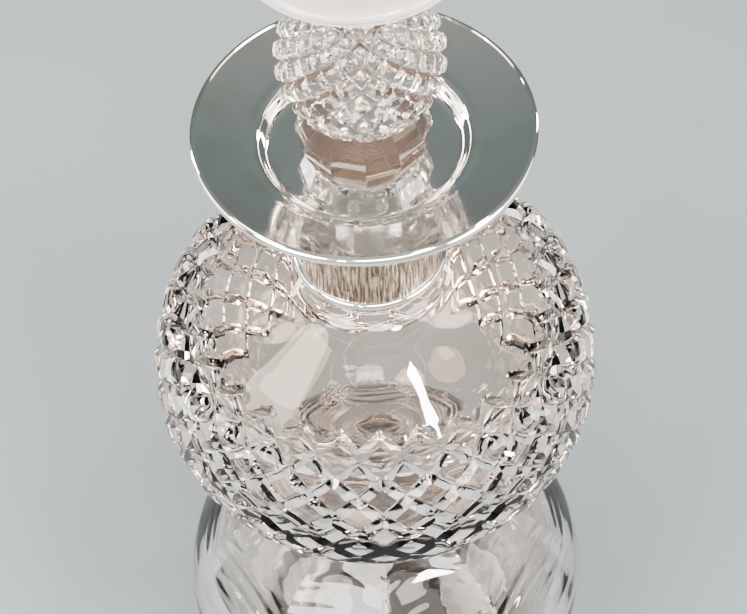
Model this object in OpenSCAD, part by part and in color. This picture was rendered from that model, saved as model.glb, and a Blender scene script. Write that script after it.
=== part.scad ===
// Cut-glass scent bottle with a silver drip collar and a lift-out glass stopper.
// A hobnail-cut globe stands on a smooth fluted bulb; its neck carries a silver
// sleeve and a wide dished collar, and the stopper drops into a ground bore.
// Millimetres, +Z up, origin at the centre of the base.

/* [Body] */
// Radius of the globe over its hobnails, which scales the whole bottle
globe_r = 36; // [32:0.5:40]
// Glass thickness of the cut globe
globe_wall = 4.6; // [4:0.1:5.4]
// Glass thickness of the smooth lower bulb
bulb_wall = 3; // [2.6:0.1:3.4]
// Number of flutes on the lower bulb
flute_count = 9; // [8:1:12]
// Depth of each flute at its middle
flute_depth = 1.5; // [0.8:0.1:1.6]

/* [Hobnail cutting] */
// Hobnails round the globe
globe_nails = 28; // [22:1:32]
// Hobnails round the stopper ball
ball_nails = 16; // [12:1:18]
// Depth of the crossing cuts on the globe
globe_cut = 1.1; // [0.8:0.1:1.5]
// Depth of the crossing cuts on the stopper ball
ball_cut = 0.7; // [0.5:0.1:0.9]
// Share of each hobnail that is left flat
nail_flat = 0.7; // [0.5:0.02:0.76]

/* [Neck and silver collar] */
// Outer radius of the glass neck
neck_r = 9.4; // [9:0.1:9.6]
// Radius of the neck bore below the ground seat
bore_r = 5.2; // [4.8:0.1:5.4]
// Outer radius of the silver sleeve
sleeve_r = 11.3; // [11:0.1:12]
// Thickness of the silver sheet
sheet = 0.7; // [0.5:0.05:0.9]
// Outer radius of the collar, over its wire
collar_r = 25.2; // [23:0.2:27]
// Radius where the collar's rim turns down into the well
well_r = 16.1; // [15:0.1:17]

/* [Stopper] */
// Radius of the hobnail ball
ball_r = 12.1; // [11.5:0.1:12.5]
// Radius of the flared crown
crown_r = 16.2; // [14:0.2:18]
// Length of the ground peg
peg_len = 17; // [14:0.5:18]
// Widest radius of the facetted knop, over its edges
knop_r = 9.9; // [9.2:0.1:10.2]
// Number of facets round the knop
knop_sides = 12; // [8:2:14]
// Radial clearance of the ground peg in its seat
seat_gap = 0.05; // [0.02:0.01:0.1]

/* [Hidden] */
$fn = 96;
eps = 0.01;
overlap = 0.5;

// Heights, all in proportion to the globe
globe_z = 2.625 * globe_r;
bulb_z = 0.8 * globe_r;
waist_z = 1.755 * globe_r;
sleeve_z = globe_z + 0.742 * globe_r;
floor_z = globe_z + 1.42 * globe_r;
well_z = globe_z + 1.485 * globe_r;
rim_z = globe_z + 1.54 * globe_r;
ball_z = globe_z + 1.951 * globe_r;
crown_z = globe_z + 2.594 * globe_r;

waist_r = 0.32 * globe_r;
throat_r = 0.235 * globe_r;
lip_z = floor_z - sheet;

// ---- outlines: every point is [radius, height] --------------------------------

function arc_pts(centre, a, b, from, to, n) =
    [for (i = [0:n]) let (t = from + (to - from) * i / n)
        centre + [a * cos(t), b * sin(t)]];

function bezier_pts(p, n) =
    [for (i = [1:n]) let (t = i / n, s = 1 - t)
        s * s * s * p[0] + 3 * s * s * t * p[1] + 3 * s * t * t * p[2] + t * t * t * p[3]];

function scaled(pts, kr, kz, z0) = [for (p = pts) [p[0] * kr, z0 + (p[1] - z0) * kz]];

function reversed(pts) = [for (i = [len(pts) - 1:-1:0]) pts[i]];

function at_globe(r, z) = [r * globe_r, globe_z + z * globe_r];

// Skin of the globe from the waist up to the neck root: concave waist, round
// belly, quick turn at the shoulder and a gentle slope up to the neck
waist_turn = bezier_pts([[waist_r, waist_z], [waist_r, waist_z + 0.09 * globe_r],
    at_globe(0.422, -0.71), at_globe(0.53, -0.658)], 6);
belly_low = arc_pts([0, globe_z], globe_r, 0.776 * globe_r, -56, 0, 18);
belly_high = arc_pts([0, globe_z], globe_r, 0.94 * globe_r, 1.5, 20, 7);
shoulder_turn = bezier_pts([at_globe(0.94, 0.3215), at_globe(0.908, 0.405),
    at_globe(0.83, 0.395), at_globe(0.745, 0.427)], 10);
shoulder = bezier_pts([at_globe(0.745, 0.427), at_globe(0.62, 0.474),
    at_globe(0.48, 0.527), at_globe(0.39, 0.57)], 8);
neck_turn = bezier_pts([at_globe(0.39, 0.57), at_globe(0.31, 0.61),
    [neck_r, globe_z + 0.63 * globe_r], [neck_r, sleeve_z]], 8);
skin = concat([[waist_r, waist_z]], waist_turn, belly_low, belly_high,
              shoulder_turn, shoulder);

// ---- hobnail lattice -----------------------------------------------------------

// The lattice is square everywhere when heights are counted in q, the distance
// along the skin divided by the radius there
skin_q = [for (i = 0, q = 0; i < len(skin);
    q = i < len(skin) - 1 ? q + norm(skin[i + 1] - skin[i]) * 2 / (skin[i + 1][0] + skin[i][0]) : q,
    i = i + 1) q];
skin_r_of_q = [for (i = [0:len(skin) - 1]) [skin_q[i], skin[i][0]]];
skin_z_of_q = [for (i = [0:len(skin) - 1]) [skin_q[i], skin[i][1]]];
q_step = 0.01;

function skin_at(q) = [lookup(q, skin_r_of_q), lookup(q, skin_z_of_q)];
function skin_normal(q) =
    let (d = skin_at(q + q_step) - skin_at(q - q_step)) [d[1], -d[0]] / norm(d);

// Point of the globe's skin at q, sunk by depth
globe_at = function (q, depth) skin_at(q) - depth * skin_normal(q);

// Point of the stopper ball at q, sunk by depth; q is zero on its equator
ball_at = function (q, depth)
    let (lat = 2 * atan(exp(q)) - 90) [0, ball_z] + (ball_r - depth) * [cos(lat), sin(lat)];

function turned(p, azimuth) = [p[0] * cos(azimuth), p[0] * sin(azimuth), p[1]];

// Closed belt of hobnails: n round, rows crossings high from q_top down, cut
// depth deep, backed by a wall that lies back under the skin
module hobnail_belt(at, n, rows, q_top, depth, back, edge, back_rings) {
    pitch = 360 / n;
    half = PI / n;
    m = 2 * n;
    odd = rows % 2;
    q_low = q_top - rows * half;
    function q_of(k) = q_top - k * half;
    function shift(k) = (k % 2) / 2;
    function corner(k, i, side, up) =
        turned(at(q_of(k) + up * nail_flat * half, 0),
               (i + shift(k) + 0.5 + side * nail_flat / 2) * pitch);

    // Points: cut crossings, full nails, half nails at both edges, edge rings, back wall
    crossings = [for (k = [0:rows], i = [0:n - 1])
        turned(at(q_of(k), depth), (i + shift(k)) * pitch)];
    nails = [for (k = [1:rows - 1], i = [0:n - 1], c = [[-1, 0], [1, 0], [0, 1], [0, -1]])
        corner(k, i, c[0], c[1])];
    upper_halves = [for (i = [0:n - 1], c = [[-1, 0], [1, 0], [0, -1]]) corner(0, i, c[0], c[1])];
    lower_halves = [for (i = [0:n - 1], c = [[-1, 0], [1, 0], [0, 1]]) corner(rows, i, c[0], c[1])];
    upper_ring = [for (j = [0:m - 1]) turned(at(q_top + edge, depth), j * pitch / 2)];
    lower_ring = [for (j = [0:m - 1]) turned(at(q_low - edge, depth), j * pitch / 2)];
    wall = [for (s = [0:back_rings], j = [0:m - 1])
        turned(at(q_top + edge - s / back_rings * (q_top - q_low + 2 * edge), back), j * pitch / 2)];

    nails_0 = len(crossings);
    upper_0 = nails_0 + len(nails);
    lower_0 = upper_0 + len(upper_halves);
    upper_ring_0 = lower_0 + len(lower_halves);
    lower_ring_0 = upper_ring_0 + m;
    wall_0 = lower_ring_0 + m;

    function cross_id(k, i) = k * n + (i + n) % n;
    function nail_id(k, i, c) = nails_0 + ((k - 1) * n + i) * 4 + c;
    function ring_id(first, j) = first + (j + m) % m;

    full_faces = [for (k = [1:rows - 1], i = [0:n - 1])
        let (l = nail_id(k, i, 0), r = nail_id(k, i, 1), t = nail_id(k, i, 2), b = nail_id(k, i, 3),
             left = cross_id(k, i), right = cross_id(k, i + 1),
             top = cross_id(k - 1, i + k % 2), bottom = cross_id(k + 1, i + k % 2))
        each [[t, r, b, l], [top, right, r, t], [right, bottom, b, r],
              [bottom, left, l, b], [left, top, t, l]]];
    upper_faces = [for (i = [0:n - 1])
        let (l = upper_0 + i * 3, r = l + 1, b = l + 2,
             left = cross_id(0, i), right = cross_id(0, i + 1), bottom = cross_id(1, i),
             a = ring_id(upper_ring_0, 2 * i), c = ring_id(upper_ring_0, 2 * i + 1),
             d = ring_id(upper_ring_0, 2 * i + 2))
        each [[l, r, b], [right, bottom, b, r], [bottom, left, l, b],
              [left, a, l], [a, c, l], [l, c, r], [c, d, r], [r, d, right]]];
    lower_faces = [for (i = [0:n - 1])
        let (l = lower_0 + i * 3, r = l + 1, t = l + 2,
             left = cross_id(rows, i), right = cross_id(rows, i + 1),
             top = cross_id(rows - 1, i + odd),
             a = ring_id(lower_ring_0, 2 * i + odd), c = ring_id(lower_ring_0, 2 * i + odd + 1),
             d = ring_id(lower_ring_0, 2 * i + odd + 2))
        each [[l, t, r], [top, right, r, t], [left, top, t, l],
              [left, l, a], [l, c, a], [l, r, c], [r, d, c], [r, right, d]]];
    end_faces = [for (j = [0:m - 1])
        let (w = ring_id(wall_0, j), x = ring_id(wall_0, j + 1),
             y = ring_id(wall_0 + back_rings * m, j), z = ring_id(wall_0 + back_rings * m, j + 1))
        each [[ring_id(upper_ring_0, j + 1), ring_id(upper_ring_0, j), w, x],
              [ring_id(lower_ring_0, j), ring_id(lower_ring_0, j + 1), z, y]]];
    wall_faces = [for (s = [0:back_rings - 1], j = [0:m - 1])
        [ring_id(wall_0 + s * m, j + 1), ring_id(wall_0 + s * m, j),
         ring_id(wall_0 + (s + 1) * m, j), ring_id(wall_0 + (s + 1) * m, j + 1)]];

    polyhedron(points = concat(crossings, nails, upper_halves, lower_halves,
                               upper_ring, lower_ring, wall),
               faces = concat(full_faces, upper_faces, lower_faces, end_faces, wall_faces));
}

// ---- glass body ------------------------------------------------------------------

globe_rows = 11;
globe_q_top = skin_q[len(skin) - 1 - len(shoulder)];
globe_q_low = globe_q_top - globe_rows * PI / globe_nails;
globe_edge = 0.03;
belt_back = globe_cut + 2 * overlap;
recess = globe_cut + overlap;
seat_z = lip_z - peg_len;
seat_top_r = bore_r + 0.8;

// Outer skin, recessed where the hobnail belt stands
module globe_outline() {
    low = [for (i = [0:len(skin) - 1]) if (skin_q[i] < globe_q_low - globe_edge / 8) skin[i]];
    high = [for (i = [0:len(skin) - 1]) if (skin_q[i] > globe_q_top + globe_edge / 2) skin[i]];
    q_from = globe_q_low - globe_edge / 8;
    q_to = globe_q_top + globe_edge / 8;
    steps = 16;
    band = [for (s = [0:steps]) globe_at(q_from + (q_to - q_from) * s / steps, recess)];
    polygon(concat([[0, waist_z]], low, [skin_at(q_from)], band, [skin_at(q_to)],
                   high, neck_turn, [[neck_r, lip_z], [0, lip_z]]));
}

// Hollow of the globe: throat, belly, underside of the shoulder and ground bore
module globe_hollow() {
    kr = 1 - globe_wall / globe_r;
    belly = scaled(concat(belly_low, belly_high, shoulder_turn, shoulder),
                   kr, kr * 0.97, globe_z);
    top = belly[len(belly) - 1];
    polygon(concat([[0, waist_z - eps], [throat_r, waist_z - eps],
                    [throat_r, waist_z + 0.11 * globe_r], [throat_r + 2, waist_z + 0.17 * globe_r]],
                   belly,
                   bezier_pts([top, top + [-3.4, 1.4], [bore_r, top[1] + 1.6], [bore_r, top[1] + 5]], 6),
                   [[bore_r, seat_z], [bore_r + seat_gap, seat_z],
                    [seat_top_r + seat_gap, lip_z + eps], [0, lip_z + eps]]));
}

module globe() {
    color("lavenderblush", 0.5)
    difference() {
        union() {
            rotate_extrude() globe_outline();
            hobnail_belt(globe_at, globe_nails, globe_rows, globe_q_top, globe_cut,
                         belt_back, globe_edge, 5);
        }
        rotate_extrude() globe_hollow();
    }
}

bulb_top_b = 0.86 * globe_r;
bulb_low_b = 0.94 * globe_r;
base_t = -asin(bulb_z / bulb_low_b);
base_r = globe_r * cos(base_t);
foot_rise = 1.2;
flute_r = 2.8 * globe_r;
flute_len = 0.8 * globe_r;
flute_mid_t = 45;

module bulb_outline() {
    turn = bezier_pts([[waist_r, waist_z], [waist_r, waist_z - 0.09 * globe_r],
        [0.422 * globe_r, bulb_z + 0.783 * globe_r], [0.53 * globe_r, bulb_z + 0.729 * globe_r]], 6);
    polygon(concat([[0, waist_z], [waist_r, waist_z]], turn,
                   arc_pts([0, bulb_z], globe_r, bulb_top_b, 56, 0, 16),
                   arc_pts([0, bulb_z], globe_r, bulb_low_b, -4, base_t, 14),
                   [[base_r - 4, 0], [base_r - 5.5, foot_rise], [0, foot_rise]]));
}

module bulb_hollow() {
    inner_r = globe_r - bulb_wall;
    floor_t = -asin((bulb_z - foot_rise - 2 * bulb_wall) / (bulb_low_b - bulb_wall));
    polygon(concat([[0, waist_z + eps], [throat_r, waist_z + eps],
                    [throat_r, waist_z - 0.1 * globe_r], [throat_r + 1.6, waist_z - 0.14 * globe_r]],
                   arc_pts([0, bulb_z], inner_r, bulb_top_b - bulb_wall, 64, 0, 14),
                   arc_pts([0, bulb_z], inner_r, bulb_low_b - bulb_wall, -5, floor_t, 10),
                   [[0, foot_rise + 2 * bulb_wall]]));
}

// One shallow lens-shaped flute on the bulb's shoulder; neighbours meet in a ridge
module flute() {
    p = [globe_r * cos(flute_mid_t), bulb_z + bulb_top_b * sin(flute_mid_t)];
    slope = atan2(-bulb_top_b * cos(flute_mid_t), globe_r * sin(flute_mid_t));
    normal = [-sin(slope), cos(slope)];
    axis = p + (flute_r - flute_depth) * normal;
    translate([axis[0], 0, axis[1]]) rotate([0, 90 - slope, 0])
        cylinder(r = flute_r, h = flute_len, center = true);
}

module lower_bulb() {
    color("aliceblue", 0.5)
    difference() {
        rotate_extrude() bulb_outline();
        rotate_extrude() bulb_hollow();
        for (i = [0:flute_count - 1])
            rotate([0, 0, (i + 0.5) * 360 / flute_count - 90]) flute();
    }
}

// ---- silver mount -----------------------------------------------------------------

plaster_low = sleeve_z + 2;
bead_h = 1.6;
wire_r = 0.8;
edge_r = collar_r - wire_r;
floor_r = well_r - 2.7;

// Bedding that holds the silver sleeve to the glass neck
module neck_plaster() {
    color("whitesmoke")
    translate([0, 0, plaster_low]) difference() {
        cylinder(r = sleeve_r - sheet, h = lip_z - plaster_low);
        translate([0, 0, -eps]) cylinder(r = neck_r, h = lip_z - plaster_low + 2 * eps);
    }
}

module neck_sleeve() {
    color("silver")
    translate([0, 0, sleeve_z]) difference() {
        cylinder(r = sleeve_r, h = lip_z - sleeve_z);
        translate([0, 0, -eps]) cylinder(r = sleeve_r - sheet, h = lip_z - sleeve_z + 2 * eps);
    }
}

// Half-round wire round the sleeve's lower edge
module sleeve_bead() {
    color("silver")
    rotate_extrude() polygon(concat([[sleeve_r, sleeve_z], [sleeve_r, sleeve_z + bead_h]],
        arc_pts([sleeve_r, sleeve_z + bead_h / 2], 0.6, bead_h / 2, 80, -80, 8)));
}

// Spun dish: flat well floor, ogee step and a rim that rises more steeply outwards
module collar_dish() {
    rim_foot = [well_r + 1.4, well_z + 0.35];
    top = concat([[seat_top_r + 0.6, floor_z], [floor_r, floor_z]],
        bezier_pts([[floor_r, floor_z], [floor_r + 1.5, floor_z],
                    [well_r - 1.3, well_z - 0.1], [well_r - 0.4, well_z + 0.15]], 8),
        bezier_pts([[well_r - 0.4, well_z + 0.15], [well_r, well_z + 0.35],
                    [well_r + 0.6, well_z + 0.2], rim_foot], 4),
        bezier_pts([rim_foot, rim_foot + [2.5, 0.4], [edge_r - 2.2, rim_z - 0.65],
                    [edge_r, rim_z]], 8));
    under = [for (p = reversed(top)) p - [0, sheet]];
    color("gainsboro") rotate_extrude() polygon(concat(top, under));
}

// Half-round wire soldered round the dish's edge
module rim_wire() {
    color("silver")
    rotate_extrude() polygon(arc_pts([edge_r, rim_z - sheet / 2], wire_r, wire_r, -90, 90, 12));
}

// ---- stopper -----------------------------------------------------------------------

ball_rows = 10;
ball_edge = 0.05;
ball_q_top = ball_rows * 0.58 * PI / ball_nails;
ball_q_low = ball_q_top - ball_rows * PI / ball_nails;
crown_cut = 0.7;
crown_root_z = ball_z + ball_r - crown_cut;
crown_root_r = 3.9;
crown_lip = 0.8;
knop_low_z = floor_z + 0.3;
knop_low_r = 8.3;
knop_mid_z = floor_z + 0.13 * globe_r;
knop_top_z = ball_z - ball_r * 0.72;
knop_top_r = 7.6;

function lat_of(q) = 2 * atan(exp(q)) - 90;

// Ball outline, recessed where its hobnail belt stands and flat on top
module ball_outline() {
    low_lat = lat_of(ball_q_low - ball_edge / 8);
    high_lat = lat_of(ball_q_top + ball_edge / 8);
    sunk = ball_r - ball_cut - overlap;
    polygon(concat(arc_pts([0, ball_z], ball_r, ball_r, -90, low_lat, 6),
                   arc_pts([0, ball_z], sunk, sunk, low_lat, high_lat, 12),
                   arc_pts([0, ball_z], ball_r, ball_r, high_lat,
                           asin((ball_r - crown_cut) / ball_r), 4),
                   [[0, crown_root_z]]));
}

// Half of the facetted knop, with one of its edges towards the front
module knop_half(z, low_r, top_r, height) {
    translate([0, 0, z])
        rotate([0, 0, 90])
            cylinder(r1 = low_r, r2 = top_r, h = height, $fn = knop_sides);
}

// Ground peg, facetted knop and hobnail ball, all one piece of glass
module stopper() {
    color("lavenderblush", 0.5)
    union() {
        translate([0, 0, seat_z + 0.5])
            cylinder(r1 = bore_r + 0.8 * 0.5 / peg_len, r2 = seat_top_r, h = peg_len - 0.5);
        translate([0, 0, lip_z - eps])
            cylinder(r = seat_top_r, h = knop_low_z - lip_z + 2 * eps);
        knop_half(knop_low_z, knop_low_r, knop_r, knop_mid_z - knop_low_z);
        knop_half(knop_mid_z, knop_r, knop_top_r, knop_top_z - knop_mid_z);
        rotate_extrude() ball_outline();
        hobnail_belt(ball_at, ball_nails, ball_rows, ball_q_top, ball_cut,
                     ball_cut + 2 * overlap, ball_edge, 4);
    }
}

// Flared crown on the ball, shallowly dished on top
module stopper_crown() {
    color("lavenderblush", 0.6)
    rotate_extrude() polygon(concat([[0, crown_root_z], [crown_root_r, crown_root_z]],
        bezier_pts([[crown_root_r, crown_root_z], [crown_root_r + 0.6, crown_root_z + 4.2],
                    [crown_r - 5.5, crown_z - 4.6], [crown_r, crown_z - 2 * crown_lip]], 14),
        arc_pts([crown_r - crown_lip, crown_z - crown_lip], crown_lip, crown_lip, -40, 90, 6),
        bezier_pts([[crown_r - crown_lip, crown_z], [crown_r - 4, crown_z - 0.2],
                    [5, crown_z - 2.6], [0, crown_z - 2.6]], 8)));
}

lower_bulb();
globe();
neck_plaster();
neck_sleeve();
sleeve_bead();
collar_dish();
rim_wire();
stopper();
stopper_crown();
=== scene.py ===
import math

import bmesh
import bpy
import numpy as np
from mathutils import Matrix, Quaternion, Vector


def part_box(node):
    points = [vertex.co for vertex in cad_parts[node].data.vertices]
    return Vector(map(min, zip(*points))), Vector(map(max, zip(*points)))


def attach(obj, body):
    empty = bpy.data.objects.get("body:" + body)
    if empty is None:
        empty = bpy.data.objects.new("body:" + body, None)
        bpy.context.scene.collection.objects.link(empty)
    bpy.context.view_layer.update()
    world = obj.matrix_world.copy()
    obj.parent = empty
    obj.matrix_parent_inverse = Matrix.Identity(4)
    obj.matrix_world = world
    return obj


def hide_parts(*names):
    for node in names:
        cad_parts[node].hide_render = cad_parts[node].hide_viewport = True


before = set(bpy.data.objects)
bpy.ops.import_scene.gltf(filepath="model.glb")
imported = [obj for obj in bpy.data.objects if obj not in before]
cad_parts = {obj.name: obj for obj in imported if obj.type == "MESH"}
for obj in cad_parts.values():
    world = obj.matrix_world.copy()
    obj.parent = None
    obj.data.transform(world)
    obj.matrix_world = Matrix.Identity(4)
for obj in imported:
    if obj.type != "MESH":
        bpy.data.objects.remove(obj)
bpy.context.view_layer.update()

MM = 0.001


# ---- sizes, all taken from the frame ------------------------------------------------


def span(node):
    """Radius, lowest and highest height of a round CAD node."""
    low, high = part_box(node)
    return (high.x - low.x) / 2, low.z, high.z


R, BASE_Z, WAIST_Z = span("lower_bulb")
NECK_TOP_Z = span("globe")[2]
SLEEVE_R, SLEEVE_Z, _ = span("neck_sleeve")
PLASTER_R, PLASTER_Z, _ = span("neck_plaster")
BEAD_R, _, BEAD_TOP_Z = span("sleeve_bead")
EDGE_R, _, RIM_Z = span("collar_dish")
WIRE_R, WIRE_LOW_Z, WIRE_TOP_Z = span("rim_wire")
BALL_R, PEG_Z, _ = span("stopper")
CROWN_R, CROWN_ROOT_Z, CROWN_Z = span("stopper_crown")

GLOBE_Z = WAIST_Z + 0.87 * R
GLOBE_TOP_B = 0.94 * R
GLOBE_LOW_B = 0.776 * R
BULB_Z = BASE_Z + 0.8 * R
BULB_TOP_B = 0.86 * R
BULB_LOW_B = 0.94 * R
BALL_Z = GLOBE_Z + 1.951 * R
FLOOR_Z = GLOBE_Z + 1.42 * R
WELL_Z = GLOBE_Z + 1.485 * R
WAIST_R = 0.32 * R
THROAT_R = 0.235 * R
SHEET = SLEEVE_R - PLASTER_R
GLOBE_WALL = 4.6 * MM
BULB_WALL = 3.0 * MM
NECK_R = 9.4 * MM
BORE_R = 5.2 * MM
SEAT_R = 6.0 * MM
SEAT_GAP = 0.05 * MM
WELL_R = 16.1 * MM
FUSED_GAP = 0.02 * MM


# ---- outlines: every point is (radius, height) --------------------------------------


def arc(z, a, b, start, end, steps):
    """Part of an ellipse round (0, z), by its angle in degrees."""
    turns = [math.radians(start + (end - start) * i / steps) for i in range(steps + 1)]
    return [(a * math.cos(t), z + b * math.sin(t)) for t in turns]


def bezier(p0, p1, p2, p3, steps):
    """Cubic curve without its first point."""
    points = []
    for i in range(1, steps + 1):
        t = i / steps
        s = 1 - t
        weights = (s ** 3, 3 * s * s * t, 3 * s * t * t, t ** 3)
        points.append(tuple(sum(w * p[c] for w, p in zip(weights, (p0, p1, p2, p3))) for c in (0, 1)))
    return points


def line(p0, p1, steps):
    """Straight run without its first point."""
    return [(p0[0] + (p1[0] - p0[0]) * i / steps, p0[1] + (p1[1] - p0[1]) * i / steps)
            for i in range(1, steps + 1)]


def at_globe(r, z):
    """Point given in globe radii from the globe's centre."""
    return (r * R, GLOBE_Z + z * R)


NAIL_TOP = at_globe(0.745, 0.427)
NECK_ROOT = at_globe(0.39, 0.57)


def scaled(points, kr, kz, z0):
    return [(r * kr, z0 + (z - z0) * kz) for r, z in points]


class Skin:
    """An outline that is also read by q, the distance along it divided by the radius there.
    A lattice that is even in q and azimuth stays square on the surface."""

    STEP = 0.004

    def __init__(self, points):
        self.r = np.array([p[0] for p in points])
        self.z = np.array([p[1] for p in points])
        length = np.hypot(np.diff(self.r), np.diff(self.z))
        mean_r = (self.r[1:] + self.r[:-1]) / 2
        self.q = np.concatenate([[0], np.cumsum(length / mean_r)])

    def q_of(self, point):
        return float(self.q[np.argmin(np.hypot(self.r - point[0], self.z - point[1]))])

    def on(self, q):
        return np.array([np.interp(q, self.q, self.r), np.interp(q, self.q, self.z)])

    def at(self, q, depth=0.0):
        along = self.on(q + self.STEP) - self.on(q - self.STEP)
        outward = np.array([along[1], -along[0]]) / np.hypot(*along)
        point = self.on(q) - depth * outward
        return (float(point[0]), float(point[1]))


# ---- meshes -------------------------------------------------------------------------

SHARP = math.radians(24)


def skin_over(name, rings, columns, splits=None, tags=None, closed=True):
    """Solid skinned over rings. A ring is one (r, z), or one (r, z) per column; r = 0 is a pole.
    splits maps a ring's number to a function of the column that says how its quads are cut.
    tags gives each ring's band its material number."""
    points, ids = [], []
    angles = [2 * math.pi * i / columns for i in range(columns)]
    cosines = [math.cos(a) for a in angles]
    sines = [math.sin(a) for a in angles]
    for ring in rings:
        first = len(points)
        if isinstance(ring, tuple) and ring[0] == 0:
            points.append((0, 0, ring[1]))
            ids.append([first] * columns)
            continue
        even = isinstance(ring, tuple)
        for i in range(columns):
            r, z = ring if even else ring[i]
            points.append((r * cosines[i], r * sines[i], z))
        ids.append(list(range(first, first + columns)))
    faces, numbers = [], []
    pairs = [(k, k + 1) for k in range(len(rings) - 1)]
    if closed:
        pairs.append((len(rings) - 1, 0))
    for upper, lower in pairs:
        split = (splits or {}).get(upper)
        for i in range(columns):
            j = (i + 1) % columns
            a, b, c, d = ids[upper][i], ids[upper][j], ids[lower][j], ids[lower][i]
            cut = split(i) if split else None
            if cut == "falling":
                found = [(a, b, c), (a, c, d)]
            elif cut == "rising":
                found = [(a, b, d), (b, c, d)]
            else:
                found = [(a, b, c, d)]
            for face in found:
                corners = tuple(dict.fromkeys(face))
                if len(corners) > 2:
                    faces.append(corners)
                    numbers.append((tags or {}).get(upper, 0))
    mesh = bpy.data.meshes.new(name)
    mesh.from_pydata(points, [], faces)
    mesh.polygons.foreach_set("material_index", numbers)
    tidy = bmesh.new()
    tidy.from_mesh(mesh)
    bmesh.ops.recalc_face_normals(tidy, faces=tidy.faces)
    tidy.to_mesh(mesh)
    tidy.free()
    mesh.shade_smooth()
    mesh.set_sharp_from_angle(angle=SHARP)
    piece = bpy.data.objects.new(name, mesh)
    bpy.context.scene.collection.objects.link(piece)
    return piece


class Hobnails:
    """Belt of square hobnails left between two crossing sets of V grooves. It is laid out in
    cells, so that every edge of a groove or a flat runs along mesh edges."""

    def __init__(self, nails, rows, cells, ramp, q_top, depth, dome):
        self.columns = 2 * cells * nails
        self.period = 2 * cells
        self.last = rows * cells
        self.ramp = ramp
        self.q_top = q_top
        self.q_cell = math.pi / nails / cells
        self.depth = depth
        self.dome = dome
        self.rows = range(-ramp, self.last + ramp + 1)
        self.q_high = q_top + ramp * self.q_cell
        self.q_low = q_top - (self.last + ramp) * self.q_cell

    def sunk(self, column, row):
        """Depth of the cut at one corner of the cells."""
        beyond = max(-row, row - self.last, 0)
        inside = min(max(row, 0), self.last)
        a = (column + inside) % self.period
        b = (column - inside) % self.period
        away = min(a, self.period - a, b, self.period - b) + beyond
        wall = max(0.0, 1 - away / self.ramp)
        if beyond:
            return self.depth * wall
        aside = [abs(2 * x / self.period - 1) for x in (a, b)]
        pillow = self.dome * (aside[0] ** 2 + aside[1] ** 2) / 2
        return pillow + (self.depth - pillow) * wall

    def rings(self, at):
        """The belt's rings from its top down, where at(q, depth) is a point of the skin."""
        return [[at(self.q_top - row * self.q_cell, self.sunk(i, row)) for i in range(self.columns)]
                for row in self.rows]

    def split(self, row):
        """How the quads under a row are cut, so that the cuts follow the grooves."""
        creases = (0, self.ramp, self.period - self.ramp)

        def cut(i):
            rising = (i + row + 1) % self.period
            falling = (i - row) % self.period
            if falling in creases and (falling == 0 or rising not in creases):
                return "falling"
            return "rising" if rising in creases else None

        return cut


def finish_piece(piece, node, body, slot, *materials):
    for material in materials:
        piece.data.materials.append(material)
    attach(piece, body)
    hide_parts(node)
    return piece


# ---- materials ----------------------------------------------------------------------


class Finish:
    """A Principled material whose colour, roughness and bump come from noise on the object."""

    def __init__(self, name):
        self.material = bpy.data.materials.new(name)
        self.material.use_nodes = True
        self.nodes = self.material.node_tree.nodes
        self.links = self.material.node_tree.links
        self.shader = self.nodes["Principled BSDF"]
        self.place = self.nodes.new("ShaderNodeTexCoord").outputs["Object"]

    def set(self, **values):
        for name, value in values.items():
            self.shader.inputs[name.replace("_", " ")].default_value = value

    def noise(self, scale, detail=3.0, stretch=(1, 1, 1)):
        mapping = self.nodes.new("ShaderNodeMapping")
        mapping.inputs["Scale"].default_value = stretch
        self.links.new(self.place, mapping.inputs["Vector"])
        noise = self.nodes.new("ShaderNodeTexNoise")
        noise.inputs["Scale"].default_value = scale
        noise.inputs["Detail"].default_value = detail
        self.links.new(mapping.outputs["Vector"], noise.inputs["Vector"])
        return noise.outputs["Fac"]

    def between(self, fac, low, high, start=0.35, end=0.65):
        """Colour or grey that goes from low to high as fac goes from start to end."""
        ramp = self.nodes.new("ShaderNodeValToRGB")
        for element, place, value in zip(ramp.color_ramp.elements, (start, end), (low, high)):
            element.position = place
            element.color = (*value, 1) if isinstance(value, tuple) else (value, value, value, 1)
        self.links.new(fac, ramp.inputs["Fac"])
        return ramp.outputs["Color"]

    def bump(self, height, distance, strength=1.0):
        bump = self.nodes.new("ShaderNodeBump")
        bump.inputs["Strength"].default_value = strength
        bump.inputs["Distance"].default_value = distance
        self.links.new(height, bump.inputs["Height"])
        if self.shader.inputs["Normal"].is_linked:
            before = self.shader.inputs["Normal"].links[0].from_socket
            self.links.new(before, bump.inputs["Normal"])
        self.links.new(bump.outputs["Normal"], self.shader.inputs["Normal"])

    def drive(self, socket, value):
        self.links.new(value, self.shader.inputs[socket])


def glass(name, light, deep, wave, rough=0.02, clear=1.0):
    """Slightly tinted glass with the gentle waves of hand work; clear under 1 is a little milky."""
    finish = Finish(name)
    finish.set(Transmission_Weight=clear, IOR=1.54)
    finish.drive("Base Color", finish.between(finish.noise(55), light, deep))
    finish.drive("Roughness", finish.between(finish.noise(420), 0.0, rough, 0.45, 0.75))
    finish.bump(finish.noise(95, 1.0), wave)
    return finish.material


def ground_glass(name):
    """Matt ground glass of the peg and of its seat."""
    finish = Finish(name)
    finish.set(Transmission_Weight=1.0, IOR=1.52)
    finish.drive("Base Color", finish.between(finish.noise(300), (0.82, 0.58, 0.37), (0.92, 0.73, 0.54)))
    finish.drive("Roughness", finish.between(finish.noise(2600), 0.35, 0.55))
    finish.bump(finish.noise(5200, 2.0), 0.02 * MM)
    return finish.material


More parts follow.
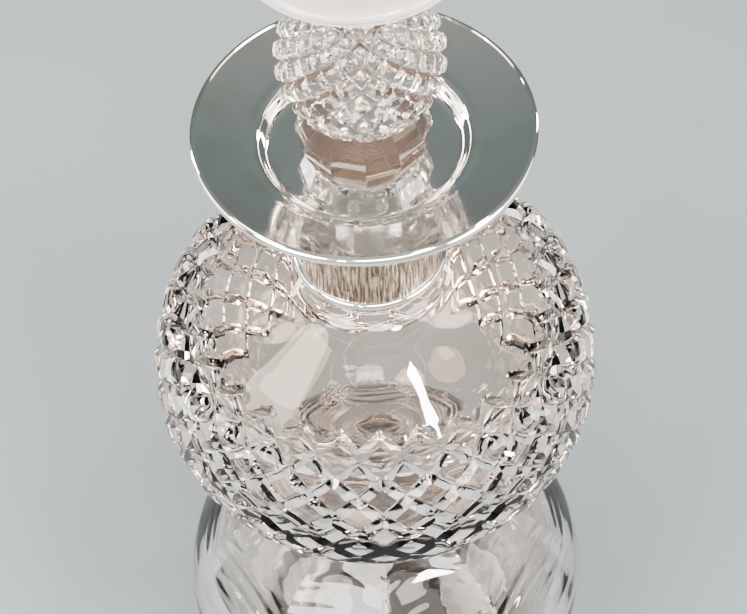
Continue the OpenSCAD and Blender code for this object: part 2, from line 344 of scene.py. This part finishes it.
def silver(name):
    """Polished silver: fine hand-polishing haze, a trace of warm tarnish and faint dings."""
    finish = Finish(name)
    finish.set(Metallic=1.0)
    tarnish = finish.between(finish.noise(130, 5.0), (0.93, 0.92, 0.89), (0.84, 0.78, 0.68), 0.5, 0.85)
    finish.drive("Base Color", tarnish)
    finish.drive("Roughness", finish.between(finish.noise(900, 4.0, (1, 1, 3)), 0.02, 0.08))
    finish.bump(finish.noise(110, 1.0), 0.02 * MM)
    finish.bump(finish.noise(2400, 2.0), 0.002 * MM)
    return finish.material


def reeded_silver(name):
    """Silver of the sleeve: fine uneven upright reeding, with warm tarnish left in it."""
    finish = Finish(name)
    finish.set(Metallic=1.0)
    reeds = finish.noise(2600, 2.0, (1, 1, 0.1))
    finish.drive("Base Color", finish.between(reeds, (0.26, 0.20, 0.135), (0.80, 0.74, 0.66), 0.42, 0.60))
    finish.drive("Roughness", finish.between(finish.noise(900, 3.0), 0.08, 0.2))
    finish.bump(reeds, 0.25 * MM)
    return finish.material


def plaster(name):
    finish = Finish(name)
    finish.drive("Base Color", finish.between(finish.noise(420), (0.72, 0.60, 0.44), (0.90, 0.82, 0.68)))
    finish.drive("Roughness", finish.between(finish.noise(1500), 0.75, 0.95))
    finish.bump(finish.noise(2600, 4.0), 0.05 * MM)
    return finish.material


def floor_finish(name):
    finish = Finish(name)
    finish.drive("Base Color", finish.between(finish.noise(8), (0.185, 0.215, 0.228), (0.20, 0.23, 0.243)))
    finish.drive("Roughness", finish.between(finish.noise(40), 0.55, 0.65))
    return finish.material


CUT_GLASS = glass("cut_glass", (0.95, 0.885, 0.845), (0.915, 0.83, 0.78), 0.1 * MM)
SMOOTH_GLASS = glass("smooth_glass", (0.945, 0.91, 0.89), (0.915, 0.875, 0.85), 0.25 * MM)
STOPPER_GLASS = glass("stopper_glass", (1.0, 0.94, 0.90), (0.985, 0.905, 0.86), 0.08 * MM, clear=0.97)
GROUND_GLASS = ground_glass("ground_glass")
CROWN_GLASS = glass("satin_glass", (1.0, 0.96, 0.94), (0.985, 0.93, 0.905), 0.08 * MM,
                    rough=0.4, clear=0.7)
SILVER = silver("polished_silver")
REEDED_SILVER = reeded_silver("reeded_silver")
PLASTER = plaster("set_plaster")

GROUND = 1  # number of the ground glass among the materials of a piece


# ---- glass body ---------------------------------------------------------------------

GLOBE_NAILS, GLOBE_ROWS, GLOBE_CELLS, GLOBE_RAMP = 28, 11, 7, 3
GLOBE_CUT = 1.3 * MM
GLOBE_DOME = 0.35 * MM


def globe_upper_outline():
    """Shoulder of the globe, from the top of its belly to the neck root."""
    return (arc(GLOBE_Z, R, GLOBE_TOP_B, 0.5, 20, 24)
            + bezier(at_globe(0.94, 0.3215), at_globe(0.908, 0.405), at_globe(0.83, 0.395), NAIL_TOP, 30)
            + bezier(NAIL_TOP, at_globe(0.62, 0.474), at_globe(0.48, 0.527), NECK_ROOT, 20))


def build_globe():
    waist_low = WAIST_Z + FUSED_GAP
    waist = [(WAIST_R, waist_low)] + bezier(
        (WAIST_R, waist_low), (WAIST_R, WAIST_Z + 0.09 * R),
        at_globe(0.422, -0.71), at_globe(0.53, -0.658), 24)
    belly = arc(GLOBE_Z, R, GLOBE_LOW_B, -56, 0, 60)
    upper = globe_upper_outline()
    skin = Skin(waist + belly + upper)
    nails = Hobnails(GLOBE_NAILS, GLOBE_ROWS, GLOBE_CELLS, GLOBE_RAMP,
                     skin.q_of(NAIL_TOP), GLOBE_CUT, GLOBE_DOME)

    neck = bezier(NECK_ROOT, at_globe(0.31, 0.61), (NECK_R, GLOBE_Z + 0.63 * R),
                  (NECK_R, SLEEVE_Z), 16)
    top = line((NECK_R, SLEEVE_Z), (NECK_R, NECK_TOP_Z), 4)
    shoulder = [skin.at(q) for q in np.linspace(nails.q_high, skin.q[-1], 16)[1:-1]]
    foot = [skin.at(q) for q in np.linspace(nails.q_low, 0.0, 22)[1:-1]]

    kr = 1 - GLOBE_WALL / R
    inner = scaled(belly[::3] + upper[::3] + upper[-1:], kr, kr * 0.97, GLOBE_Z)
    roof = inner[-1]
    bore_foot = (BORE_R, roof[1] + 5 * MM)
    seat_foot = (BORE_R + SEAT_GAP, PEG_Z - 0.5 * MM)
    seat_top = (SEAT_R + SEAT_GAP, NECK_TOP_Z)
    throat_top = (THROAT_R, WAIST_Z + 0.06 * R)
    hollow = ([(THROAT_R, waist_low), throat_top]
              + bezier(throat_top, (THROAT_R, WAIST_Z + 0.17 * R),
                       (inner[0][0] - 4.4 * MM, inner[0][1] - 2.6 * MM), inner[0], 16)
              + inner[1:]
              + bezier(roof, (roof[0] - 3.4 * MM, roof[1] + 1.4 * MM),
                       (BORE_R, roof[1] + 1.6 * MM), bore_foot, 10)
              + [(BORE_R, seat_foot[1]), seat_foot, seat_top])

    rings = list(reversed(top)) + list(reversed(neck)) + [upper[-1]] + list(reversed(shoulder))
    first = len(rings)
    rings += nails.rings(skin.at)
    splits = {first + k: nails.split(row) for k, row in enumerate(nails.rows[:-1])}
    rings += foot + [waist[0]] + hollow
    ground = len(rings) - 2
    piece = skin_over("globe_glass", rings, nails.columns, splits, {ground: GROUND})
    return finish_piece(piece, "globe", "bottle", "cut_glass", CUT_GLASS, GROUND_GLASS)


FLUTES = 9
FLUTE_COLUMNS = 32
FLUTE_TURN = FLUTE_COLUMNS // 4  # brings a ridge to the front
FLUTE_DEPTH = 1.1 * MM
FLUTE_MID = 45
FLUTE_REACH = 20 * MM
FLUTE_FADE = 6 * MM
RIPPLE = 0.05 * MM
RIPPLE_PITCH = 2.9 * MM
RIPPLE_BOW = 0.8  # how far a ripple bends at the ridges, in pitches


def build_lower_bulb():
    base_turn = -math.degrees(math.asin((BULB_Z - BASE_Z) / BULB_LOW_B))
    waist_high = WAIST_Z - FUSED_GAP
    turn = [(WAIST_R, waist_high)] + bezier(
        (WAIST_R, waist_high), (WAIST_R, WAIST_Z - 0.09 * R), (0.422 * R, BULB_Z + 0.783 * R),
        (0.53 * R, BULB_Z + 0.729 * R), 14)
    outline = turn + arc(BULB_Z, R, BULB_TOP_B, 57, 0, 110) + arc(BULB_Z, R, BULB_LOW_B, -4, base_turn, 26)
    base_r = outline[-1][0]
    foot_z = BASE_Z + 1.2 * MM
    foot = [(base_r - 4 * MM, BASE_Z), (base_r - 5.5 * MM, foot_z), (0, foot_z)]

    mid = math.radians(FLUTE_MID)
    mid_point = np.array([R * math.cos(mid), BULB_Z + BULB_TOP_B * math.sin(mid)])
    outward = np.array([BULB_TOP_B * math.cos(mid), R * math.sin(mid)])
    outward /= np.hypot(*outward)
    columns = FLUTES * FLUTE_COLUMNS

    def fluted(point):
        """A ring of the outline, hollowed between ridges that stay on the outline."""
        r, z = point
        along = (z - mid_point[1]) / outward[0]
        fade = min(1.0, max(0.0, (WAIST_Z - z) / FLUTE_FADE))
        share = (1 - (along / FLUTE_REACH) ** 2) * fade * fade * (3 - 2 * fade)
        if share <= 0:
            return point
        ring = []
        for i in range(columns):
            phase = (i + FLUTE_TURN) % FLUTE_COLUMNS / FLUTE_COLUMNS * 2 - 1
            wave = math.sin(2 * math.pi * (along / RIPPLE_PITCH + RIPPLE_BOW * phase * phase))
            depth = share * (FLUTE_DEPTH * (1 - phase * phase) + RIPPLE * share * (1 + wave))
            ring.append((r - depth * outward[0], z - depth * outward[1]))
        return ring

    inner_r = R - BULB_WALL
    inner_low_b = BULB_LOW_B - BULB_WALL
    floor_z = foot_z + 2 * BULB_WALL
    floor_turn = -math.degrees(math.asin((BULB_Z - floor_z) / inner_low_b))
    shoulder = arc(BULB_Z, inner_r, BULB_TOP_B - BULB_WALL, 0, 62, 36)
    throat_foot = (THROAT_R, WAIST_Z - 0.06 * R)
    hollow = ([(0, floor_z)] + arc(BULB_Z, inner_r, inner_low_b, floor_turn, -4, 20) + shoulder
              + bezier(shoulder[-1], (shoulder[-1][0] - 4.0 * MM, shoulder[-1][1] + 1.8 * MM),
                       (THROAT_R, WAIST_Z - 0.16 * R), throat_foot, 14)
              + [(THROAT_R, waist_high)])
    rings = [fluted(p) for p in outline] + foot + hollow
    piece = skin_over("lower_bulb_glass", rings, columns)
    return finish_piece(piece, "lower_bulb", "bottle", "smooth_glass", SMOOTH_GLASS)


# ---- silver mount -------------------------------------------------------------------

SILVER_COLUMNS = 192


def build_plaster():
    rings = [(PLASTER_R, NECK_TOP_Z), (PLASTER_R, PLASTER_Z), (NECK_R, PLASTER_Z), (NECK_R, NECK_TOP_Z)]
    piece = skin_over("neck_plaster_ring", rings, SILVER_COLUMNS)
    return finish_piece(piece, "neck_plaster", "bottle", "plaster", PLASTER)


def build_sleeve():
    inner = SLEEVE_R - SHEET
    edge = 0.15 * MM
    outside = line((SLEEVE_R, NECK_TOP_Z), (SLEEVE_R, SLEEVE_Z + edge), 12)
    rings = ([(SLEEVE_R, NECK_TOP_Z)] + outside + [(SLEEVE_R - edge, SLEEVE_Z)]
             + [(inner + edge, SLEEVE_Z), (inner, SLEEVE_Z + edge), (inner, NECK_TOP_Z)])
    piece = skin_over("neck_sleeve_silver", rings, SILVER_COLUMNS)
    return finish_piece(piece, "neck_sleeve", "bottle", "polished_silver", REEDED_SILVER)


def half_round(centre_r, centre_z, out, half_height, steps):
    turns = [math.radians(-90 + 180 * i / steps) for i in range(steps + 1)]
    return [(centre_r + out * math.cos(t), centre_z + half_height * math.sin(t)) for t in turns]


def build_bead():
    half = (BEAD_TOP_Z - SLEEVE_Z) / 2
    rings = half_round(SLEEVE_R, SLEEVE_Z + half, BEAD_R - SLEEVE_R, half, 12)
    piece = skin_over("sleeve_bead_silver", rings, SILVER_COLUMNS)
    return finish_piece(piece, "sleeve_bead", "bottle", "polished_silver", SILVER)


def build_collar_dish():
    """Spun dish: flat well, ogee step, rounded well edge and a rim that steepens outwards."""
    hole_r = SEAT_R + 0.6 * MM
    floor_r = WELL_R - 2.7 * MM
    step_top = (WELL_R - 0.4 * MM, WELL_Z + 0.15 * MM)
    rim_foot = (WELL_R + 1.4 * MM, WELL_Z + 0.35 * MM)
    top = ([(hole_r, FLOOR_Z)] + line((hole_r, FLOOR_Z), (floor_r, FLOOR_Z), 8)
           + bezier((floor_r, FLOOR_Z), (floor_r + 1.5 * MM, FLOOR_Z),
                    (WELL_R - 1.3 * MM, WELL_Z - 0.1 * MM), step_top, 14)
           + bezier(step_top, (WELL_R, WELL_Z + 0.35 * MM),
                    (WELL_R + 0.6 * MM, WELL_Z + 0.2 * MM), rim_foot, 10)
           + bezier(rim_foot, (rim_foot[0] + 2.5 * MM, rim_foot[1] + 0.4 * MM),
                    (EDGE_R - 2.2 * MM, RIM_Z - 0.65 * MM), (EDGE_R, RIM_Z), 24))
    under = [(r, z - SHEET) for r, z in reversed(top)]
    piece = skin_over("collar_dish_silver", top + under, SILVER_COLUMNS)
    return finish_piece(piece, "collar_dish", "bottle", "polished_silver", SILVER)


def build_rim_wire():
    centre_z = (WIRE_LOW_Z + WIRE_TOP_Z) / 2
    radius = (WIRE_TOP_Z - WIRE_LOW_Z) / 2
    rings = half_round(EDGE_R, centre_z, WIRE_R - EDGE_R, radius, 16)
    piece = skin_over("rim_wire_silver", rings, SILVER_COLUMNS)
    return finish_piece(piece, "rim_wire", "bottle", "polished_silver", SILVER)


# ---- stopper ------------------------------------------------------------------------

BALL_NAILS, BALL_ROWS, BALL_CELLS, BALL_RAMP = 16, 10, 9, 4
BALL_CUT = 1.0 * MM
BALL_DOME = 0.35 * MM
BALL_TOP_SHARE = 0.58
KNOP_LOW_R, KNOP_R, KNOP_TOP_R = 8.3 * MM, 9.9 * MM, 7.7 * MM
KNOP_SIDES = 12


def ball_point(q, depth):
    """Point of the ball, where q = ln(tan(45 degrees + latitude / 2))."""
    latitude = 2 * math.atan(math.exp(q)) - math.pi / 2
    radius = BALL_R - depth
    return (radius * math.cos(latitude), BALL_Z + radius * math.sin(latitude))


def facetted(r, z, columns):
    """Ring with flat sides between its edges, one of which faces the front."""
    side = 360 / KNOP_SIDES
    ring = []
    for i in range(columns):
        turn = (360 * i / columns + 90) % side - side / 2
        ring.append((r * math.cos(math.radians(side / 2)) / math.cos(math.radians(turn)), z))
    return ring


def build_stopper():
    q_top = BALL_ROWS * BALL_TOP_SHARE * math.pi / BALL_NAILS
    nails = Hobnails(BALL_NAILS, BALL_ROWS, BALL_CELLS, BALL_RAMP, q_top, BALL_CUT, BALL_DOME)
    columns = nails.columns
    knop_low_z = FLOOR_Z + 0.3 * MM
    knop_mid_z = FLOOR_Z + 0.13 * R
    knop_top_z = BALL_Z - 0.777 * BALL_R
    flat = math.asin((CROWN_ROOT_Z - BALL_Z) / BALL_R)
    flat_q = math.asinh(math.tan(flat))
    cap_q = [flat_q + (nails.q_high - flat_q) * i / 5 for i in range(5)]
    rings = [(0, CROWN_ROOT_Z)] + [ball_point(q, 0) for q in cap_q]
    first = len(rings)
    rings += nails.rings(ball_point)
    splits = {first + k: nails.split(row) for k, row in enumerate(nails.rows[:-1])}
    rings += [ball_point(nails.q_low - 0.08, 0)]
    knop = ([(KNOP_TOP_R, knop_top_z)]
            + bezier((KNOP_TOP_R, knop_top_z), (KNOP_R - 0.6 * MM, knop_mid_z + 2.8 * MM),
                     (KNOP_R, knop_mid_z + 1.2 * MM), (KNOP_R, knop_mid_z), 8)
            + bezier((KNOP_R, knop_mid_z), (KNOP_R, knop_mid_z - 1.2 * MM),
                     (KNOP_LOW_R + 0.6 * MM, knop_low_z + 1.6 * MM), (KNOP_LOW_R, knop_low_z), 8))
    rings += [facetted(r, z, columns) for r, z in knop]
    neck = len(rings) - 1
    rings += [(SEAT_R, knop_low_z), (SEAT_R, NECK_TOP_Z), (BORE_R + 0.02 * MM, PEG_Z), (0, PEG_Z)]
    tags = {neck + 2: GROUND, neck + 3: GROUND}
    piece = skin_over("stopper_glass", rings, columns, splits, tags, closed=False)
    return finish_piece(piece, "stopper", "stopper", "stopper_glass", STOPPER_GLASS, GROUND_GLASS)


def build_crown():
    root_r = 3.9 * MM
    lip = 0.8 * MM
    root_z = CROWN_ROOT_Z + FUSED_GAP
    dip_z = CROWN_Z - 2.6 * MM
    flare = bezier((root_r, root_z), (root_r + 0.6 * MM, root_z + 4.2 * MM),
                   (CROWN_R - 5.5 * MM, CROWN_Z - 4.6 * MM), (CROWN_R - 0.1 * MM, CROWN_Z - 2 * lip), 36)
    turns = [math.radians(-40 + 130 * i / 10) for i in range(11)]
    edge = [(CROWN_R - lip + lip * math.cos(t), CROWN_Z - lip + lip * math.sin(t)) for t in turns]
    top = bezier((CROWN_R - lip, CROWN_Z), (CROWN_R - 4 * MM, CROWN_Z - 0.2 * MM),
                 (5 * MM, dip_z), (0.4 * MM, dip_z), 24)
    rings = [(0, root_z), (root_r, root_z)] + flare + edge + top + [(0, dip_z)]
    piece = skin_over("crown_glass", rings, SILVER_COLUMNS, closed=False)
    return finish_piece(piece, "stopper_crown", "stopper", "stopper_glass", CROWN_GLASS)


# ---- studio -------------------------------------------------------------------------


MIDDLE = (0, 0, GLOBE_Z)
FLOOR_HALF = 3.0


def build_floor():
    half = FLOOR_HALF
    mesh = bpy.data.meshes.new("floor")
    corners = [(-half, -half, BASE_Z), (half, -half, BASE_Z), (half, half, BASE_Z), (-half, half, BASE_Z)]
    mesh.from_pydata(corners, [], [(0, 1, 2, 3)])
    floor = bpy.data.objects.new("floor", mesh)
    bpy.context.scene.collection.objects.link(floor)
    mesh.materials.append(floor_finish("pale_floor"))


def softbox(name, place, target, width, height, power, colour):
    data = bpy.data.lights.new(name, "AREA")
    data.shape = "ELLIPSE"
    data.size, data.size_y = width, height
    data.energy = power
    data.color = colour
    lamp = bpy.data.objects.new(name, data)
    lamp.location = place
    lamp.rotation_mode = "QUATERNION"
    lamp.rotation_quaternion = (Vector(target) - Vector(place)).to_track_quat("-Z", "Y")
    bpy.context.scene.collection.objects.link(lamp)


def build_world():
    """Bright and warm behind the camera, dim and cool over the bottle, dimmer behind and below."""
    world = bpy.data.worlds.new("studio")
    bpy.context.scene.world = world
    world.use_nodes = True
    nodes, links = world.node_tree.nodes, world.node_tree.links
    direction = nodes.new("ShaderNodeTexCoord").outputs["Generated"]
    facing = nodes.new("ShaderNodeVectorMath")
    facing.operation = "DOT_PRODUCT"
    facing.inputs[1].default_value = (0, -0.8, 0.6)
    links.new(direction, facing.inputs[0])
    share = nodes.new("ShaderNodeMapRange")
    share.inputs["From Min"].default_value = -1
    links.new(facing.outputs["Value"], share.inputs["Value"])
    ramp = nodes.new("ShaderNodeValToRGB")
    stops = [(0.0, (0.17, 0.145, 0.13, 1)), (0.4, (0.18, 0.22, 0.22, 1)),
             (0.7, (0.32, 0.33, 0.315, 1)), (1.0, (0.95, 0.88, 0.82, 1))]
    elements = ramp.color_ramp.elements
    while len(elements) < len(stops):
        elements.new(1.0)
    for element, (place, colour) in zip(elements, stops):
        element.position = place
        element.color = colour
    links.new(share.outputs["Result"], ramp.inputs["Fac"])
    background = nodes["Background"]
    background.inputs["Strength"].default_value = 1.0
    links.new(ramp.outputs["Color"], background.inputs["Color"])


CAMERA_ELEVATION = math.radians(53.8)
CAMERA_DISTANCE = 10 * R
CAMERA_ROLL = math.radians(-2.87)
CAMERA_LENS = 106.2


def build_camera():
    """Looks down at the globe from the front, rolled a little, as the photograph was taken."""
    centre = Vector(MIDDLE)
    towards = Vector((0, -math.cos(CAMERA_ELEVATION), math.sin(CAMERA_ELEVATION)))
    place = centre + CAMERA_DISTANCE * towards
    aim = centre + Vector((0.1 * MM, 0, 0.355 * R))
    data = bpy.data.cameras.new("camera")
    data.sensor_width = 36
    data.lens = CAMERA_LENS
    data.clip_start = 0.01
    camera = bpy.data.objects.new("camera", data)
    camera.location = place
    camera.rotation_mode = "QUATERNION"
    roll = Quaternion((0, 0, 1), CAMERA_ROLL)
    camera.rotation_quaternion = (aim - place).to_track_quat("-Z", "Y") @ roll
    bpy.context.scene.collection.objects.link(camera)
    bpy.context.scene.camera = camera


build_lower_bulb()
build_globe()
build_plaster()
build_sleeve()
build_bead()
build_collar_dish()
build_rim_wire()
build_stopper()
build_crown()

build_floor()
build_world()
softbox("key_softbox", (-0.50, -0.45, 0.60), MIDDLE, 0.55, 0.55, 13, (1.0, 0.95, 0.91))
softbox("fill_softbox", (0.60, -0.30, 0.45), MIDDLE, 0.45, 0.55, 7, (1.0, 0.93, 0.88))
softbox("top_window", (0.22, -0.12, 1.00), MIDDLE, 0.10, 0.05, 1.6, (1.0, 1.0, 1.0))
softbox("warm_card", (-0.48, 0.04, 0.95), MIDDLE, 0.34, 0.30, 2.4, (1.0, 0.84, 0.70))
softbox("left_strip", (-0.60, 0.35, 0.30), MIDDLE, 0.08, 0.50, 2.5, (1.0, 0.98, 0.96))
softbox("right_strip", (0.55, 0.45, 0.25), MIDDLE, 0.08, 0.40, 2.0, (1.0, 0.90, 0.80))
softbox("left_wall", (-0.85, 0.05, 0.35), MIDDLE, 0.70, 0.50, 3.0, (1.0, 0.90, 0.84))
softbox("right_wall", (0.85, 0.00, 0.35), MIDDLE, 0.70, 0.50, 2.6, (1.0, 0.80, 0.66))
softbox("ball_light", (0.26, -0.34, 0.78), (0, 0, BALL_Z), 0.14, 0.10, 4, (1.0, 0.96, 0.92))
softbox("front_panel", (0.10, -0.60, 0.85), MIDDLE, 0.45, 0.30, 6, (1.0, 0.98, 0.96))
softbox("front_sparkle", (-0.22, -0.75, 0.60), MIDDLE, 0.06, 0.06, 1.5, (1.0, 1.0, 1.0))
softbox("side_sparkle", (-0.75, -0.10, 0.45), MIDDLE, 0.06, 0.06, 1.5, (1.0, 0.98, 0.95))
softbox("high_sparkle", (0.35, 0.15, 0.90), MIDDLE, 0.05, 0.05, 1.2, (1.0, 0.95, 0.88))
build_camera()

LIGHT_BOUNCES = 24
scene = bpy.context.scene
scene.cycles.max_bounces = LIGHT_BOUNCES
scene.cycles.transmission_bounces = LIGHT_BOUNCES
scene.view_settings.look = "AgX - Medium High Contrast"

bpy.context.view_layer.update()
